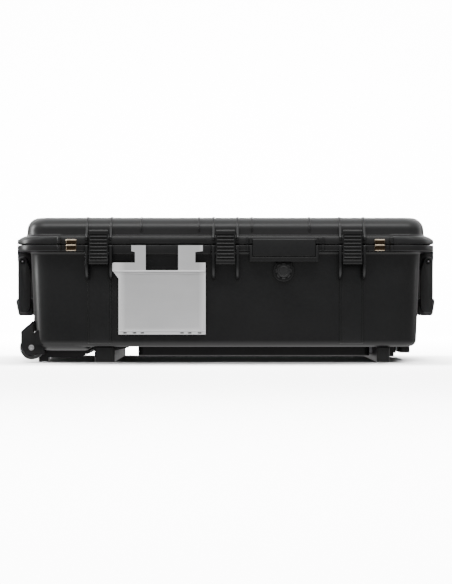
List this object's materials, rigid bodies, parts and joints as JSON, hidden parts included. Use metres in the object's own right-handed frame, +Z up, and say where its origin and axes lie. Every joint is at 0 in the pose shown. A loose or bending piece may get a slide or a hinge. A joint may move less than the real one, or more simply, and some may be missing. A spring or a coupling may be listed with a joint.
{
  "type": "drone carrying case",
  "caption": "Wheeled hard carrying case for a drone, with latches, side handles, a pull-out trolley, a purge valve and cut foam inside.",
  "frame": {"origin": "centre of the case's footprint, on the floor under its feet", "axes": "+X towards the trolley end, -Y the latched front, +Z up"},
  "size_m": [0.853, 0.55, 0.2874],
  "materials": {
    "shell": "satin",
    "trim": "satin",
    "rubber": "matte",
    "tyre": "matte",
    "foam": "matte",
    "pocket_grey": "satin",
    "button_grey": "satin",
    "steel": "satin",
    "brass": "satin",
    "alloy": "satin"
  },
  "bodies": {
    "base": {"base_shell": "shell", "valve_o_ring": "rubber", "base_foam_floor": "foam", "base_foam_left": "foam", "base_foam_middle": "foam", "base_foam_right": "foam", "valve_body": "trim", "valve_cap": "trim", "valve_nut": "trim", "wheel_front_housing": "trim", "wheel_rear_housing": "trim", "foot_rail_left": "trim", "foot_rail_right": "trim", "wheel_end_skid": "trim", "trolley_housing": "trim", "trolley_end_bracket": "trim", "latch_left_base_pin": "steel", "latch_centre_base_pin": "steel", "latch_right_base_pin": "steel", "hinge_pin": "steel", "handle_left_pin": "steel", "handle_right_pin": "steel", "wheel_front_bolt": "steel", "wheel_rear_bolt": "steel", "base_lock_eye_left": "brass", "base_lock_eye_right": "brass", "trolley_outer_tube_front": "alloy", "trolley_outer_tube_rear": "alloy", "document_pocket": "pocket_grey"},
    "lid": {"lid_shell": "shell", "lid_gasket": "rubber", "lid_foam": "foam", "lid_lock_eye_left": "brass", "lid_lock_eye_right": "brass"},
    "handle_left": {"handle_left_frame": "trim", "handle_left_grip": "rubber"},
    "handle_right": {"handle_right_frame": "trim", "handle_right_grip": "rubber"},
    "wheel_front": {"wheel_front_tyre": "tyre", "wheel_front_hub": "trim"},
    "wheel_rear": {"wheel_rear_tyre": "tyre", "wheel_rear_hub": "trim"},
    "trolley_mid": {"trolley_mid_tube_front": "alloy", "trolley_mid_tube_rear": "alloy", "trolley_collar_front": "trim", "trolley_collar_rear": "trim"},
    "trolley_handle": {"trolley_inner_tube_front": "alloy", "trolley_inner_tube_rear": "alloy", "trolley_grip": "trim"},
    "trolley_release": {"trolley_button": "button_grey", "trolley_release_rods": "steel"},
    "latch_left_link": {"latch_left_link": "trim"},
    "latch_left_lever": {"latch_left_lever": "trim", "latch_left_pin": "steel"},
    "latch_centre_link": {"latch_centre_link": "trim"},
    "latch_centre_lever": {"latch_centre_lever": "trim", "latch_centre_pin": "steel"},
    "latch_right_link": {"latch_right_link": "trim"},
    "latch_right_lever": {"latch_right_lever": "trim", "latch_right_pin": "steel"}
  },
  "joints": [
    {"name": "lid_hinge", "type": "hinge", "parent": "base", "child": "lid", "pos_m": [0, 0.268, 0.233], "axis": [-1, 0, 0], "range_deg": [0, 100]},
    {"name": "latch_left_swing", "type": "hinge", "parent": "base", "child": "latch_left_link", "pos_m": [-0.248, -0.2635, 0.213], "axis": [-1, 0, 0], "range_deg": [0, 100]},
    {"name": "latch_left_tilt", "type": "hinge", "parent": "latch_left_link", "child": "latch_left_lever", "pos_m": [-0.248, -0.264, 0.1985], "axis": [-1, 0, 0], "range_deg": [-80, 0]},
    {"name": "latch_centre_swing", "type": "hinge", "parent": "base", "child": "latch_centre_link", "pos_m": [0, -0.2635, 0.213], "axis": [-1, 0, 0], "range_deg": [0, 100]},
    {"name": "latch_centre_tilt", "type": "hinge", "parent": "latch_centre_link", "child": "latch_centre_lever", "pos_m": [0, -0.264, 0.1985], "axis": [-1, 0, 0], "range_deg": [-80, 0]},
    {"name": "latch_right_swing", "type": "hinge", "parent": "base", "child": "latch_right_link", "pos_m": [0.248, -0.2635, 0.213], "axis": [-1, 0, 0], "range_deg": [0, 100]},
    {"name": "latch_right_tilt", "type": "hinge", "parent": "latch_right_link", "child": "latch_right_lever", "pos_m": [0.248, -0.264, 0.1985], "axis": [-1, 0, 0], "range_deg": [-80, 0]},
    {"name": "handle_right_swing", "type": "hinge", "parent": "base", "child": "handle_right", "pos_m": [0.4115, 0, 0.201], "axis": [0, -1, 0], "range_deg": [0, 95]},
    {"name": "handle_left_swing", "type": "hinge", "parent": "base", "child": "handle_left", "pos_m": [-0.4115, 0, 0.201], "axis": [0, 1, 0], "range_deg": [0, 95]},
    {"name": "wheel_front_spin", "type": "hinge", "parent": "base", "child": "wheel_front", "pos_m": [-0.3835, -0.2, 0.0292], "axis": [0, 1, 0], "continuous": true},
    {"name": "wheel_rear_spin", "type": "hinge", "parent": "base", "child": "wheel_rear", "pos_m": [-0.3835, 0.2, 0.0292], "axis": [0, 1, 0], "continuous": true},
    {"name": "trolley_stage_one", "type": "slide", "parent": "base", "child": "trolley_mid", "axis": [1, 0, 0], "range_m": [0, 0.42]},
    {"name": "trolley_stage_two", "type": "slide", "parent": "trolley_mid", "child": "trolley_handle", "axis": [1, 0, 0], "range_m": [0, 0.4]},
    {"name": "trolley_button_press", "type": "slide", "parent": "trolley_handle", "child": "trolley_release", "axis": [-1, 0, 0], "range_m": [0, 0.003], "stiffness_N_per_m": 500}
  ],
  "couplings": [
    {"joint": "latch_left_tilt", "follows": "latch_left_swing", "ratio": -0.8},
    {"joint": "latch_centre_tilt", "follows": "latch_centre_swing", "ratio": -0.8},
    {"joint": "latch_right_tilt", "follows": "latch_right_swing", "ratio": -0.8}
  ]
}
